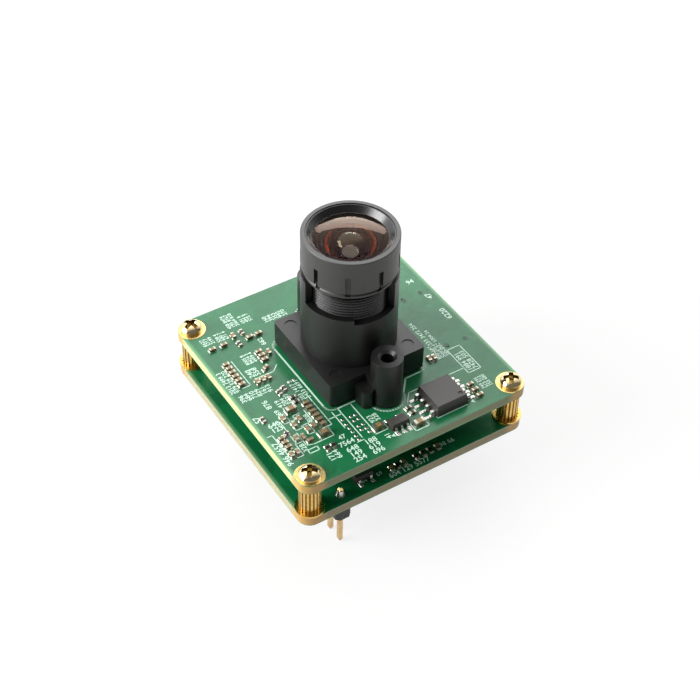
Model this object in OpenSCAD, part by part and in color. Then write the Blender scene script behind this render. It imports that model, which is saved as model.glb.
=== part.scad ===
// Board camera: two stacked circuit boards on brass standoffs, with a screw-in lens in a moulded holder.
// Origin: the middle of the plane of the header pins' tips. +Z runs up along the lens axis.

/* [Boards] */
// Side of both square boards
board_side = 38; // [37:0.5:42]
// Thickness of both boards
board_t = 1.6; // [1.2:0.1:2]
// Radius of the boards' corners, and inset of the corner holes from both edges
corner_r = 2; // [1.8:0.1:2.2]
// Clear height between the boards
board_gap = 5; // [4.6:0.2:7]

/* [Lens holder] */
// Side of the holder's square foot
foot_side = 16; // [15.6:0.2:16.4]
// Height of the foot
foot_h = 4.4; // [4.2:0.1:5]
// Outer radius of the holder's round barrel
holder_r = 7; // [6.8:0.1:7.4]
// Height of the holder above the upper board
holder_h = 17; // [16:0.2:17]
// Height of the two screw posts
post_h = 8.2; // [7:0.2:9]
// Distance between the two screw posts
post_spacing = 20; // [20:0.2:21]

/* [Lens] */
// Gap between the holder's top and the lens head, at rest
lens_gap = 0.3; // [0.3:0.1:1.5]
// Radius of the lens head
head_r = 6.93; // [6.8:0.01:7.2]
// Height of the lens head, with its skirt
head_h = 6.3; // [6.2:0.1:6.4]
// Number of grip slots round the head
slot_count = 9; // [6:1:12]

/* [Header] */
// Pins in each header strip
pin_count = 10; // [4:1:10]
// Length of the pins below the strip
pin_below = 6; // [5:0.5:8]

/* [Hidden] */
$fn = 64;
// Overshoot of a cutter past the face it leaves through
over = 0.5;
// Depth to which two shapes of one solid run into each other
bite = 0.1;

// Levels, from the pins' tips up
strip_h = 2.5;
lower_z = pin_below + strip_h;
lower_top = lower_z + board_t;
upper_z = lower_top + board_gap;
upper_top = upper_z + board_t;

// Corner hardware: M2 screws down into threaded standoffs
hole_at = board_side / 2 - corner_r;
screw_hole_r = 1.1;
pad_r = 2.2;
pad_t = 0.05;
pad_inset = 0.04;
standoff_r = 1.57;
base_r = 2.15;
base_t = 0.3;
flute_count = 18;
flute_r = 0.13;
flute_out = 0.03;
shank_r = 1.25;
press_gap = 0.02;
shank_hole_r = shank_r + press_gap;
thread_minor_r = 0.8;
thread_major_r = 1;
screw_len = 5;
screw_r = thread_major_r - press_gap;
screw_head_r = 1.6;
screw_head_h = 1.35;

// Cross-recessed screw heads: shares of the head's radius or height
head_side_share = 0.35;
recess_width_share = 0.42;
recess_length_share = 1.4;
recess_floor_share = 0.4;
recess_point_share = 0.25;
board_screw_turn = 57;
board_screw_turn_step = 34;
holder_screw_turn = 20;

// Holder inside: sensor chamber, ledge with the filter on it, then the lens bore
chamber_side = 12.4;
chamber_h = 3;
ledge_t = 0.8;
ledge_top = chamber_h + ledge_t;
window_side = 6.6;
lens_bore_r = 6;

// Holder outside: wall cut away in front in two steps, foot with an undercut and four ejector marks
cut_from = 176;
cut_step = 243;
cut_to = 301;
cut_depth = 3.65;
cut_drop = 0.75;
cut_high = holder_h - cut_depth;
cut_low = cut_high - cut_drop;
foot_undercut = 0.25;
foot_undercut_h = 0.5;
foot_corner_r = 0.5;
mark_inset = 1.85;
mark_r = 0.9;
mark_depth = 0.1;

// Screw posts, with the lug beside each
post_r = 2.3;
post_bore_r = 0.925;
post_mouth_r = 1.35;
post_mouth_h = 0.4;
web_half = 0.75;
web_drop = 2;
web_sink = 1;
lug_r = 1;
lug_h = 3.1;
lug_side = 0.8;
lug_front = 1.7;
lug_x = post_r + lug_side;
lug_out = foot_side / 2 + lug_front;
holder_screw_len = 6;
holder_screw_head_r = 1.6;
holder_screw_head_h = 1.2;

// Sensor and filter
package_side = 9.6;
package_h = 1;
package_floor = 0.4;
well_side = 7.4;
die_size = [6.4, 5.2, 0.25];
cover_side = 8.8;
cover_t = 0.4;
filter_side = 8;
filter_t = 0.45;

// Lens barrel: heights above the upper board, mostly set down from the lens top
lens_fit = 0.04;
thread_fit = 0.05;
barrel_r = lens_bore_r - thread_fit;
barrel_chamfer = 0.3;
filter_gap = 0.95;
lens_bottom = ledge_top + filter_t + filter_gap;
head_z = holder_h + lens_gap;
lens_top = head_z + head_h;
rim_r = 6.3;
rim_edge = 0.08;
skirt_h = 0.75;
skirt_drop = 0.28;
skirt_rim = 0.3;
neck_depth = 0.48;
neck_half = 0.25;
slot_w = 0.75;
slot_depth = 0.6;
slot_first = 195;
slot_low = 0.25;
slot_top = 3.8;

// Glass and the rings that hold it
front_seat_r = 5.5;
front_seat_drop = 2.95;
front_edge_drop = 0.95;
front_seat_z = lens_top - front_seat_drop;
front_edge_z = lens_top - front_edge_drop;
front_dome_r = 18;
front_bevel = 0.2;
hollow_r = 4.2;
hollow_mouth_r = 3.7;
front_ring_drop = 0.12;
front_ring_lip = 0.18;
front_ring_edge = 0.25;
stack_r = 4.4;
inner_r = stack_r - lens_fit;
spacer_bore_r = 3.75;
curve_r = 7;
curve_mouth_r = 3.6;
curve_rise = curve_r - sqrt(curve_r * curve_r - curve_mouth_r * curve_mouth_r);
middle_drop = 6.8;
middle_z = lens_top - middle_drop;
middle_t = 1.4;
stop_t = 0.4;
stop_bore_r = 1.5;
rear_t = 3.6;
rear_z = middle_z - stop_t - rear_t;
rear_ring_t = 1.8;
rear_ring_bore_r = 3.7;

// Header strips: one at the left front, its twin turned half way round at the right back
pin_pitch = 2.54;
pin_w = 0.64;
pin_bevel = 0.18;
pin_point = 0.5;
notch_side = 0.75;
header_inset = 6.9;
header_end = 1.8;
header_x = board_side / 2 - header_inset;
header_y = board_side / 2 - header_end;
pin_above = 1.4;
pin_fit = 0.05;
pin_hole_r = pin_w * sqrt(0.5) + pin_fit;
solder_h = 0.9;
solder_r = 0.75;
solder_top_r = pin_hole_r - pin_fit / 2;

// Board-to-board connector
link_inset = 3.8;
link_x = board_side / 2 - link_inset;
link_w = 4;
link_l = 12.8;
flange_h = 1.8;
socket_h = board_gap - flange_h;
tongue_w = 2.4;
tongue_l = 11;
tongue_h = 1.5;
link_fit = 0.05;
peg_x = 1.6;
peg_y = 5.9;
peg_r = 0.28;
peg_fit = 0.04;
peg_hole_r = peg_r + peg_fit;
peg_short = 0.7;
peg_h = board_t - peg_short;
contact_count = 10;
contact_pitch = 1;
contact_size = [0.3, 0.3, 0.12];

// Small parts are placed from the boards' left front corner, so they keep together at that corner.
// Memory chip near the front edge, with four leads a side and a dimple at its first lead
flash_at = [25.65, 4.4];
flash_size = [5.3, 5.2, 1.8];
flash_lift = 0.1;
flash_lean = 0.2;
flash_pitch = 1.27;
flash_lead_w = 0.42;
flash_lead_span = 1.4;
flash_lead_foot = 0.55;
dimple_inset = 0.85;
dimple_r = 0.35;
dimple_depth = 0.1;

// Five-lead regulator on the upper board and three-lead transistor on the lower one
regulator_at = [17.53, 3.6];
regulator_size = [2.9, 1.6, 1.1];
transistor_at = [11.2, 2.8];
transistor_size = [2.9, 1.3, 1];
small_lift = 0.05;
small_lean = 0.12;
small_pitch = 0.95;
small_lead_w = 0.4;
small_lead_span = 0.6;
small_lead_foot = 0.3;
lead_t = 0.15;

// Chips hidden between the boards
main_chip_at = [0, 1];
main_chip_size = [9, 9, 1.2];
crystal_at = [-7.4, -2.5];
crystal_size = [2.5, 3.2, 0.8];
crystal_corner_r = 0.3;

// Two-ended parts: length, width and height
small_capacitor = [1, 0.5, 0.5];
large_capacitor = [1.6, 0.8, 0.8];
small_resistor = [1, 0.5, 0.35];
end_share = 0.25;
end_lip = 0.02;
row_pitch = 0.93;

// Places of the two-ended parts: [x, y, turn] of each middle from that corner, 0 along X and 90 along Y
function row_along_y(x, y, count) = [for (i = [0 : count - 1]) [x, y - i * row_pitch, 0]];
function row_along_x(x, y, count) = [for (i = [0 : count - 1]) [x + i * row_pitch, y, 90]];

small_capacitors = concat(
    row_along_y(8.55, 13.8, 6),
    row_along_y(2.65, 26.45, 6),
    row_along_y(2.15, 9.7, 3),
    row_along_y(8.05, 26.4, 3),
    row_along_x(4.85, 21.1, 3),
    row_along_x(1.8, 6.4, 2),
    [[9.35, 25.6, 90], [7.25, 22.95, 30], [4.25, 12.9, 90], [5, 11.05, 90], [6.2, 11.7, 90],
     [6.25, 9.4, 90], [7.3, 9.5, 90], [3.9, 8.7, 90], [4.9, 8.4, 90], [5.4, 7.4, 0],
     [28.6, 12, 90], [29.4, 11.9, 90], [30.65, 4.6, 0], [30.65, 3.4, 0], [30.65, 2.2, 0],
     [2.5, 30.3, 0], [4.4, 30.3, 0], [8.5, 29.8, 0], [10, 29.8, 0], [6.55, 31.3, 90]]);
large_capacitors = [[6.05, 13.75, 0], [7.7, 7.5, 0], [14.8, 4.5, 0], [20.15, 2.15, 0]];
small_resistors = [[6.7, 4.9, 90], [7.7, 4.9, 90], [6.5, 17.65, 90], [7.45, 18, 90],
                   [7.6, 15.85, 0], [7.6, 14.85, 0], [1.75, 14.15, 90], [3.15, 10.2, 30],
                   [6.55, 29.4, 90], [8.05, 31.4, 90], [20.5, 5.45, 0], [20.5, 4.35, 0]];
lower_row_y = 2;
lower_capacitors = [for (x = [15.6, 17.8, 23.6]) [x, lower_row_y, 90]];
lower_resistors = [for (x = [16.7, 19.9, 21.1, 22.3]) [x, lower_row_y, 90]];

// Flat plate with four rounded corners, from z = 0 up
module rounded_plate(w, l, h, r) {
    translate([-w / 2 + r, -l / 2, 0]) cube([w - 2 * r, l, h]);
    translate([-w / 2, -l / 2 + r, 0]) cube([w, l - 2 * r, h]);
    for (x = [-1, 1], y = [-1, 1])
        translate([x * (w / 2 - r), y * (l / 2 - r), 0]) cylinder(h = h, r = r);
}

// A plain block centred in x and y, from z = 0 up
module block(w, l, h) {
    translate([-w / 2, -l / 2, 0]) cube([w, l, h]);
}

// Carries its children to a point [x, y] counted from the boards' left front corner, on level z
module from_corner(at, z) {
    translate([at.x - board_side / 2, at.y - board_side / 2, z]) children();
}

// Repeats its children at the four corner holes
module at_corners() {
    for (x = [-1, 1], y = [-1, 1])
        translate([x * hole_at, y * hole_at, 0]) children();
}

// Repeats its children at both screw posts, the second turned half way round
module at_posts() {
    for (turn = [0, 180])
        rotate(turn) translate([0, -post_spacing / 2, 0]) children();
}

// Repeats its children at every pin of both header strips
module at_pins() {
    for (turn = [0, 180], i = [0 : pin_count - 1])
        rotate(turn) translate([-header_x, -header_y + i * pin_pitch, 0]) children();
}

// Repeats its children at the connector's four locating pegs
module at_pegs() {
    for (x = [-1, 1], y = [-1, 1])
        translate([link_x + x * peg_x, y * peg_y, 0]) children();
}

module upper_board() {
    color("seagreen") difference() {
        translate([0, 0, upper_z]) rounded_plate(board_side, board_side, board_t, corner_r);
        translate([0, 0, upper_z - over]) {
            at_corners() cylinder(h = board_t + 2 * over, r = screw_hole_r);
            at_posts() cylinder(h = board_t + 2 * over, r = screw_hole_r);
            at_pegs() cylinder(h = board_t + 2 * over, r = peg_hole_r);
        }
    }
}

module lower_board() {
    color("darkgreen") difference() {
        translate([0, 0, lower_z]) rounded_plate(board_side, board_side, board_t, corner_r);
        translate([0, 0, lower_z - over]) {
            at_corners() cylinder(h = board_t + 2 * over, r = shank_hole_r);
            at_pins() cylinder(h = board_t + 2 * over, r = pin_hole_r);
        }
    }
}

// Copper rings round the corner holes, trimmed to the board's outline, from level z up
module ring_pads(z, hole_r) {
    translate([0, 0, z]) intersection() {
        at_corners() difference() {
            cylinder(h = pad_t, r = pad_r);
            translate([0, 0, -over]) cylinder(h = pad_t + 2 * over, r = hole_r);
        }
        translate([0, 0, -over]) rounded_plate(board_side - 2 * pad_inset, board_side - 2 * pad_inset,
                                               pad_t + 2 * over, corner_r - pad_inset);
    }
}

module upper_board_pads() {
    color("gold") {
        ring_pads(upper_top, screw_hole_r);
        ring_pads(upper_z - pad_t, screw_hole_r);
    }
}

module lower_board_pads() {
    color("gold") ring_pads(lower_top, shank_hole_r);
}

// Fluted round spacer on a plain flange, its shank pressed into the lower board, with a thread all through
module standoff() {
    body_z = lower_top + pad_t;
    body_h = board_gap - 2 * pad_t;
    difference() {
        union() {
            translate([0, 0, body_z]) cylinder(h = body_h, r = standoff_r);
            translate([0, 0, body_z]) cylinder(h = base_t, r = base_r);
            translate([0, 0, lower_z]) cylinder(h = board_t + pad_t + over, r = shank_r);
        }
        for (i = [0 : flute_count - 1])
            rotate(i * 360 / flute_count) translate([standoff_r + flute_out, 0, body_z + base_t - bite])
                cylinder(h = body_h, r = flute_r, $fn = 24);
        translate([0, 0, lower_z - over]) cylinder(h = board_gap + board_t + 2 * over, r = thread_minor_r);
        translate([0, 0, upper_z - screw_len + board_t]) cylinder(h = screw_len + over, r = thread_major_r);
    }
}

module standoffs() {
    color("goldenrod") at_corners() standoff();
}

// Round-topped screw with a cross recess, its head resting on level z; turn sets the recess
module pan_screw(z, head_r, head_h, body_r, len, turn) {
    side_h = head_h * head_side_share;
    dome_h = head_h - side_h;
    dome_r = (head_r * head_r + dome_h * dome_h) / (2 * dome_h);
    arm_w = head_r * recess_width_share;
    arm_l = head_r * recess_length_share;
    floor_z = head_h * recess_floor_share;
    translate([0, 0, z]) rotate(turn) difference() {
        union() {
            cylinder(h = side_h, r = head_r);
            intersection() {
                cylinder(h = head_h, r = head_r);
                translate([0, 0, head_h - dome_r]) sphere(r = dome_r, $fn = 96);
            }
            translate([0, 0, -len]) cylinder(h = len + side_h / 2, r = body_r);
        }
        for (a = [0, 90])
            rotate(a) translate([-arm_l / 2, -arm_w / 2, floor_z]) cube([arm_l, arm_w, head_h]);
        translate([0, 0, head_h * recess_point_share])
            cylinder(h = head_h, r1 = arm_w / 2, r2 = arm_w);
    }
}

module board_screws() {
    color("gold") for (x = [-1, 1], y = [-1, 1])
        translate([x * hole_at, y * hole_at, 0])
            pan_screw(upper_top + pad_t, screw_head_r, screw_head_h, screw_r, screw_len - pad_t,
                      board_screw_turn + board_screw_turn_step * x * (1 + y) / 2);
}

// Self-tapping screws up through the upper board into the holder's posts
module holder_screws() {
    color("silver") at_posts() translate([0, 0, upper_z]) mirror([0, 0, 1])
        pan_screw(0, holder_screw_head_r, holder_screw_head_h, post_bore_r - press_gap,
                  holder_screw_len, holder_screw_turn);
}

// Post that takes a screw from below, its webs to the foot and barrel, and the round lug beside it
module holder_post() {
    foot_reach = (post_spacing - foot_side) / 2 + web_sink;
    barrel_reach = post_spacing / 2 - holder_r + web_sink;
    translate([0, -post_spacing / 2, 0]) cylinder(h = post_h, r = post_r);
    translate([-post_r, -post_spacing / 2, 0]) cube([2 * post_r, foot_reach, foot_h]);
    translate([-web_half, -post_spacing / 2, 0])
        cube([2 * web_half, barrel_reach, post_h - web_drop]);
    translate([-lug_x, -lug_out, 0]) cylinder(h = lug_h, r = lug_r);
    translate([-lug_x - lug_r, -lug_out, 0])
        cube([lug_x + lug_r, lug_out - foot_side / 2 + web_sink, lug_h]);
}

// Cuts the barrel's wall away between two angles, from level z up
module barrel_cut(from, to, z) {
    rotate(from) translate([0, 0, z]) rotate_extrude(angle = to - from)
        translate([lens_bore_r - 1, 0]) square([holder_r - lens_bore_r + 2, holder_h - z + over]);
}

module lens_holder() {
    mark_at = foot_side / 2 - mark_inset;
    color("#262626") translate([0, 0, upper_top]) difference() {
        union() {
            translate([0, 0, foot_undercut_h])
                rounded_plate(foot_side, foot_side, foot_h - foot_undercut_h, foot_corner_r);
            rounded_plate(foot_side - 2 * foot_undercut, foot_side - 2 * foot_undercut,
                          foot_undercut_h + bite, foot_corner_r);
            cylinder(h = holder_h, r = holder_r, $fn = 128);
            for (turn = [0, 180]) rotate(turn) holder_post();
        }
        translate([0, 0, -over]) block(chamber_side, chamber_side, chamber_h + over);
        translate([0, 0, chamber_h - over]) block(window_side, window_side, ledge_t + 2 * over);
        translate([0, 0, ledge_top]) cylinder(h = holder_h, r = lens_bore_r, $fn = 128);
        barrel_cut(cut_from, cut_to, cut_high);
        barrel_cut(cut_step, cut_to, cut_low);
        for (x = [-1, 1], y = [-1, 1])
            translate([x * mark_at, y * mark_at, foot_h - mark_depth]) cylinder(h = over, r = mark_r);
        at_posts() {
            translate([0, 0, -over]) cylinder(h = post_h + 2 * over, r = post_bore_r);
            translate([0, 0, post_h - post_mouth_h])
                cylinder(h = post_mouth_h, r1 = post_bore_r, r2 = post_mouth_r);
        }
    }
}

module infrared_filter() {
    color("lightcyan") translate([0, 0, upper_top + ledge_top])
        block(filter_side, filter_side, filter_t);
}

module sensor_package() {
    color("#40382e") translate([0, 0, upper_top]) difference() {
        block(package_side, package_side, package_h);
        translate([0, 0, package_floor]) block(well_side, well_side, package_h);
    }
}

module sensor_die() {
    color("slategray") translate([0, 0, upper_top + package_floor])
        block(die_size.x, die_size.y, die_size.z);
}

module sensor_cover_glass() {
    color("lightcyan") translate([0, 0, upper_top + package_h])
        block(cover_side, cover_side, cover_t);
}

// Barrel with its gripped head, turned from one profile
module lens_barrel() {
    skirt_top = head_z + skirt_h;
    color("#1e1e1e") translate([0, 0, upper_top]) difference() {
        rotate_extrude($fn = 128) polygon([
            [0, lens_bottom],
            [barrel_r - barrel_chamfer, lens_bottom],
            [barrel_r, lens_bottom + barrel_chamfer],
            [barrel_r, head_z],
            [head_r - skirt_drop, head_z],
            [head_r - skirt_drop, head_z + skirt_rim],
            [head_r - neck_depth, skirt_top - neck_half],
            [head_r - neck_depth, skirt_top + neck_half],
            [head_r, skirt_top + neck_half],
            [head_r, lens_top - rim_edge],
            [head_r - rim_edge, lens_top],
            [0, lens_top]]);
        for (i = [0 : slot_count - 1])
            rotate(slot_first + i * 360 / slot_count)
                translate([head_r - slot_depth, -slot_w / 2, head_z + slot_low])
                    cube([slot_depth + over, slot_w, slot_top - slot_low]);
        translate([0, 0, front_edge_z]) cylinder(h = head_h, r = rim_r);
        translate([0, 0, front_seat_z]) cylinder(h = head_h, r = front_seat_r + lens_fit);
        translate([0, 0, lens_bottom - over]) cylinder(h = lens_top, r = stack_r);
    }
}

// Dished ring that holds the front glass down
module front_retaining_ring() {
    ring_h = lens_top - front_edge_z - front_ring_drop;
    color("#2a2a2a") translate([0, 0, upper_top + front_edge_z]) rotate_extrude($fn = 128) polygon([
        [front_seat_r - front_ring_lip, 0],
        [rim_r - lens_fit, 0],
        [rim_r - lens_fit, ring_h],
        [rim_r - front_ring_edge, ring_h]]);
}

// Meniscus: domed in front, deeply hollow behind
module front_element() {
    dome_foot_r = front_seat_r - front_bevel;
    dome_drop = sqrt(front_dome_r * front_dome_r - dome_foot_r * dome_foot_r);
    hollow_drop = sqrt(hollow_r * hollow_r - hollow_mouth_r * hollow_mouth_r);
    edge_t = front_edge_z - front_seat_z;
    color("lightsteelblue") translate([0, 0, upper_top]) difference() {
        union() {
            translate([0, 0, front_seat_z]) cylinder(h = edge_t, r = front_seat_r);
            intersection() {
                translate([0, 0, front_seat_z]) cylinder(h = 2 * edge_t, r = dome_foot_r);
                translate([0, 0, front_edge_z - dome_drop]) sphere(r = front_dome_r, $fn = 128);
            }
        }
        translate([0, 0, front_seat_z - hollow_drop]) sphere(r = hollow_r, $fn = 96);
    }
}

// Plain ring from level z up
module ring(z, h, outer_r, bore_r) {
    translate([0, 0, z]) difference() {
        cylinder(h = h, r = outer_r);
        translate([0, 0, -over]) cylinder(h = h + 2 * over, r = bore_r);
    }
}

// Cap of a ball, from level 0 up
module glass_cap() {
    intersection() {
        cylinder(h = curve_r, r = curve_mouth_r);
        translate([0, 0, curve_rise - curve_r]) sphere(r = curve_r, $fn = 96);
    }
}

module lens_spacer() {
    low = middle_z + middle_t;
    color("#333333") translate([0, 0, upper_top]) ring(low, front_seat_z - low, inner_r, spacer_bore_r);
}

module middle_element() {
    color("lightsteelblue") translate([0, 0, upper_top + middle_z]) {
        cylinder(h = middle_t, r = inner_r);
        translate([0, 0, middle_t]) glass_cap();
    }
}

module aperture_stop() {
    color("#111111") translate([0, 0, upper_top]) ring(middle_z - stop_t, stop_t, inner_r, stop_bore_r);
}

module rear_element() {
    color("lightsteelblue") translate([0, 0, upper_top + rear_z]) {
        cylinder(h = rear_t, r = inner_r);
        mirror([0, 0, 1]) glass_cap();
    }
}

module rear_retaining_ring() {
    color("#2a2a2a") translate([0, 0, upper_top])
        ring(rear_z - rear_ring_t, rear_ring_t, inner_r, rear_ring_bore_r);
}

// Chip body whose upper half leans in on all four sides, from level 0 up
module chip_body(size, lean) {
    reach = size.x + size.y;
    difference() {
        block(size.x, size.y, size.z);
        for (side = [0 : 3])
            rotate(side * 90)
                translate([side % 2 == 0 ? size.x / 2 : size.y / 2, 0, size.z / 2])
                    rotate([0, -atan(2 * lean / size.z), 0])
                        translate([0, -reach, -over]) cube([size.z, 2 * reach, size.z + 2 * over]);
    }
}

// Gull-wing lead that starts at x = 0 against the body, half way up it, and ends in a foot on level 0
module gull_lead(width, up, span, foot) {
    rise_x = span - foot - lead_t;
    rotate([90, 0, 0]) translate([0, 0, -width / 2]) linear_extrude(height = width) polygon([
        [0, up],
        [rise_x, up],
        [rise_x + lead_t, lead_t],
        [span, lead_t],
        [span, 0],
        [rise_x, 0],
        [rise_x - lead_t, up - lead_t],
        [0, up - lead_t]]);
}

// Repeats leads in two facing rows: body width w, lead pitch, and counts on the +X and -X sides
module lead_rows(w, pitch, right, left, width, up, span, foot) {
    for (y = right)
        translate([w / 2, y * pitch, 0]) gull_lead(width, up, span, foot);
    for (y = left)
        translate([-w / 2, y * pitch, 0]) mirror([1, 0, 0]) gull_lead(width, up, span, foot);
}

// The leads of a small chip of that size, lead rows along its long sides
module small_leads(size, right, left) {
    lead_rows(size.y, small_pitch, right, left, small_lead_w, small_lift + size.z / 2,
              small_lead_span, small_lead_foot);
}

module flash_chip() {
    dimple_x = flash_size.x / 2 - dimple_inset;
    dimple_y = dimple_inset - flash_size.y / 2;
    color("#5a5550") from_corner(flash_at, upper_top + flash_lift) difference() {
        chip_body(flash_size, flash_lean);
        translate([dimple_x, dimple_y, flash_size.z - dimple_depth]) cylinder(h = over, r = dimple_r);
    }
}

module flash_chip_leads() {
    rows = [-1.5, -0.5, 0.5, 1.5];
    color("lightgray") from_corner(flash_at, upper_top)
        lead_rows(flash_size.x, flash_pitch, rows, rows, flash_lead_w, flash_lift + flash_size.z / 2,
                  flash_lead_span, flash_lead_foot);
}

module regulator_chips() {
    color("#3a3632") {
        from_corner(regulator_at, upper_top + small_lift) chip_body(regulator_size, small_lean);
        from_corner(transistor_at, lower_top + small_lift) chip_body(transistor_size, small_lean);
    }
}

module regulator_leads() {
    color("lightgray") {
        from_corner(regulator_at, upper_top) rotate(-90)
            small_leads(regulator_size, [-1, 0, 1], [-1, 1]);
        from_corner(transistor_at, lower_top) rotate(-90)
            small_leads(transistor_size, [-1, 1], [0]);
    }
}

// Middle of a two-ended part, between its metal ends
module part_body(size) {
    core = size.x * (1 - 2 * end_share);
    translate([0, 0, end_lip]) block(core, size.y - 2 * end_lip, size.z - 2 * end_lip);
}

// The two metal ends of the same part
module part_ends(size) {
    cap = size.x * end_share;
    for (side = [-1, 1])
        translate([side * (size.x - cap) / 2, 0, 0]) block(cap, size.y, size.z);
}

// Repeats its children at each listed place, standing on level z
module at_places(places, z) {
    for (p = places)
        from_corner(p, z) rotate(p.z) children();
}

module capacitor_bodies() {
    color("#a98f6e") {
        at_places(small_capacitors, upper_top) part_body(small_capacitor);
        at_places(large_capacitors, upper_top) part_body(large_capacitor);
        at_places(lower_capacitors, lower_top) part_body(small_capacitor);
    }
}

module capacitor_ends() {
    color("#cfcac0") {
        at_places(small_capacitors, upper_top) part_ends(small_capacitor);
        at_places(large_capacitors, upper_top) part_ends(large_capacitor);
        at_places(lower_capacitors, lower_top) part_ends(small_capacitor);
    }
}

module resistor_bodies() {
    color("#20201f") {
        at_places(small_resistors, upper_top) part_body(small_resistor);
        at_places(lower_resistors, lower_top) part_body(small_resistor);
    }
}

module resistor_ends() {
    color("#cfcac0") {
        at_places(small_resistors, upper_top) part_ends(small_resistor);
        at_places(lower_resistors, lower_top) part_ends(small_resistor);
    }
}

module link_plug() {
    color("#1c1c1c") {
        translate([link_x, 0, upper_z - flange_h]) block(link_w, link_l, flange_h);
        translate([link_x, 0, upper_z - flange_h - tongue_h]) block(tongue_w, tongue_l, tongue_h + bite);
        translate([0, 0, upper_z - bite]) at_pegs() cylinder(h = peg_h + bite, r = peg_r);
    }
}

module link_socket() {
    color("#2b2b2b") translate([link_x, 0, lower_top]) difference() {
        block(link_w, link_l, socket_h);
        translate([0, 0, socket_h - tongue_h - link_fit])
            block(tongue_w + 2 * link_fit, tongue_l + 2 * link_fit, socket_h);
    }
}

// Gold feet of the connector's contacts, in rows beside both halves
module link_contacts() {
    color("gold") for (side = [-1, 1], i = [0 : contact_count - 1]) {
        y = (i - (contact_count - 1) / 2) * contact_pitch;
        x = link_x + side * (link_w + contact_size.x) / 2;
        for (z = [lower_top, upper_z - contact_size.z])
            translate([x, y, z]) block(contact_size.x, contact_size.y, contact_size.z);
    }
}

module main_chip() {
    color("#242424") translate([main_chip_at.x, main_chip_at.y, lower_top])
        block(main_chip_size.x, main_chip_size.y, main_chip_size.z);
}

module clock_crystal() {
    color("silver") translate([crystal_at.x, crystal_at.y, lower_top])
        rounded_plate(crystal_size.x, crystal_size.y, crystal_size.z, crystal_corner_r);
}

// Black strip that holds one row of pins, notched between them
module header_strip() {
    len = pin_count * pin_pitch;
    mid = -header_y + (len - pin_pitch) / 2;
    translate([-header_x, mid, pin_below]) difference() {
        block(pin_pitch, len, strip_h);
        for (side = [-1, 1], i = [0 : pin_count])
            translate([side * pin_pitch / 2, i * pin_pitch - len / 2, -over]) rotate(45)
                block(notch_side, notch_side, strip_h + 2 * over);
        for (i = [0 : pin_count - 1])
            translate([0, (i + 0.5) * pin_pitch - len / 2, -over])
                block(pin_w, pin_w, strip_h + 2 * over);
    }
}

module header_strips() {
    color("#1f1f1f") for (turn = [0, 180]) rotate(turn) header_strip();
}

// Square pin, from z = 0 up, whose ends are bevelled to blunt points
module header_pin() {
    len = lower_top + pin_above;
    difference() {
        block(pin_w, pin_w, len);
        for (end = [0, 1], side = [0 : 3])
            translate([0, 0, end * len]) mirror([0, 0, end]) rotate(side * 90)
                translate([pin_w / 2, 0, pin_point]) rotate([0, atan(pin_bevel / pin_point), 0])
                    translate([0, -pin_w, -2 * pin_point]) cube([pin_w, 2 * pin_w, 2 * pin_point]);
    }
}

module header_pins() {
    color("khaki") at_pins() header_pin();
}

// Cone of solder round each pin on the lower board
module header_solder() {
    color("lightgray") translate([0, 0, lower_top]) at_pins() difference() {
        cylinder(h = solder_h, r1 = solder_r, r2 = solder_top_r, $fn = 32);
        translate([0, 0, -over]) block(pin_w, pin_w, solder_h + 2 * over);
    }
}

upper_board();
upper_board_pads();
lower_board();
lower_board_pads();
standoffs();
board_screws();
lens_holder();
holder_screws();
lens_barrel();
front_retaining_ring();
front_element();
lens_spacer();
middle_element();
aperture_stop();
rear_element();
rear_retaining_ring();
infrared_filter();
sensor_package();
sensor_die();
sensor_cover_glass();
flash_chip();
flash_chip_leads();
regulator_chips();
regulator_leads();
capacitor_bodies();
capacitor_ends();
resistor_bodies();
resistor_ends();
link_plug();
link_socket();
link_contacts();
main_chip();
clock_crystal();
header_strips();
header_pins();
header_solder();
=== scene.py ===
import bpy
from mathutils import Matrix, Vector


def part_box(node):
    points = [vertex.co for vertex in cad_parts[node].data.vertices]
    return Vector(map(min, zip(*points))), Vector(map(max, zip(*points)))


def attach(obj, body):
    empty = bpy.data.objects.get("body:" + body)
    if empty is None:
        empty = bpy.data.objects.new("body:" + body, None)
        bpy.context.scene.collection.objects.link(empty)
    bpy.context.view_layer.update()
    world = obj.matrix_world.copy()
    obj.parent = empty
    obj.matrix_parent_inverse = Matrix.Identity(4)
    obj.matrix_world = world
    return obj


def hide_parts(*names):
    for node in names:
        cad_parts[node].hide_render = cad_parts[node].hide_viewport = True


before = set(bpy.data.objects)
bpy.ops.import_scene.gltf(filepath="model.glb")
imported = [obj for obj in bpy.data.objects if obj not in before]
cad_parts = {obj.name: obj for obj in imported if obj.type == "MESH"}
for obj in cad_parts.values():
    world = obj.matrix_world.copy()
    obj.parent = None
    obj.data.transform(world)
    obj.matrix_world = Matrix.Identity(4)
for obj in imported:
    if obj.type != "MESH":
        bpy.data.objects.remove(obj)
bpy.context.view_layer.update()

import math
import random

import bmesh
import bpy
from bpy.props import FloatProperty, FloatVectorProperty, IntProperty, PointerProperty
from mathutils import Matrix, Vector

bl_info = {
    "name": "Board camera looks",
    "version": (1, 0, 0),
    "blender": (4, 5, 0),
    "location": "View3D > Sidebar > Board camera",
    "description": "Dresses a board camera's solids with print, solder, thread, finishes and a stage",
    "category": "Object",
}

MM = 0.001
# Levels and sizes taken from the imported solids, in millimetres
BOARD_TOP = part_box("upper_board")[1].z / MM
BOARD_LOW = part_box("upper_board")[0].z / MM
LOWER_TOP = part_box("lower_board")[1].z / MM
LOWER_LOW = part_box("lower_board")[0].z / MM
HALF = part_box("upper_board")[1].x / MM
LENS_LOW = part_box("lens_barrel")[0].z / MM
GLASS_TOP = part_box("front_element")[1].z / MM
GLASS_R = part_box("front_element")[1].x / MM
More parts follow.
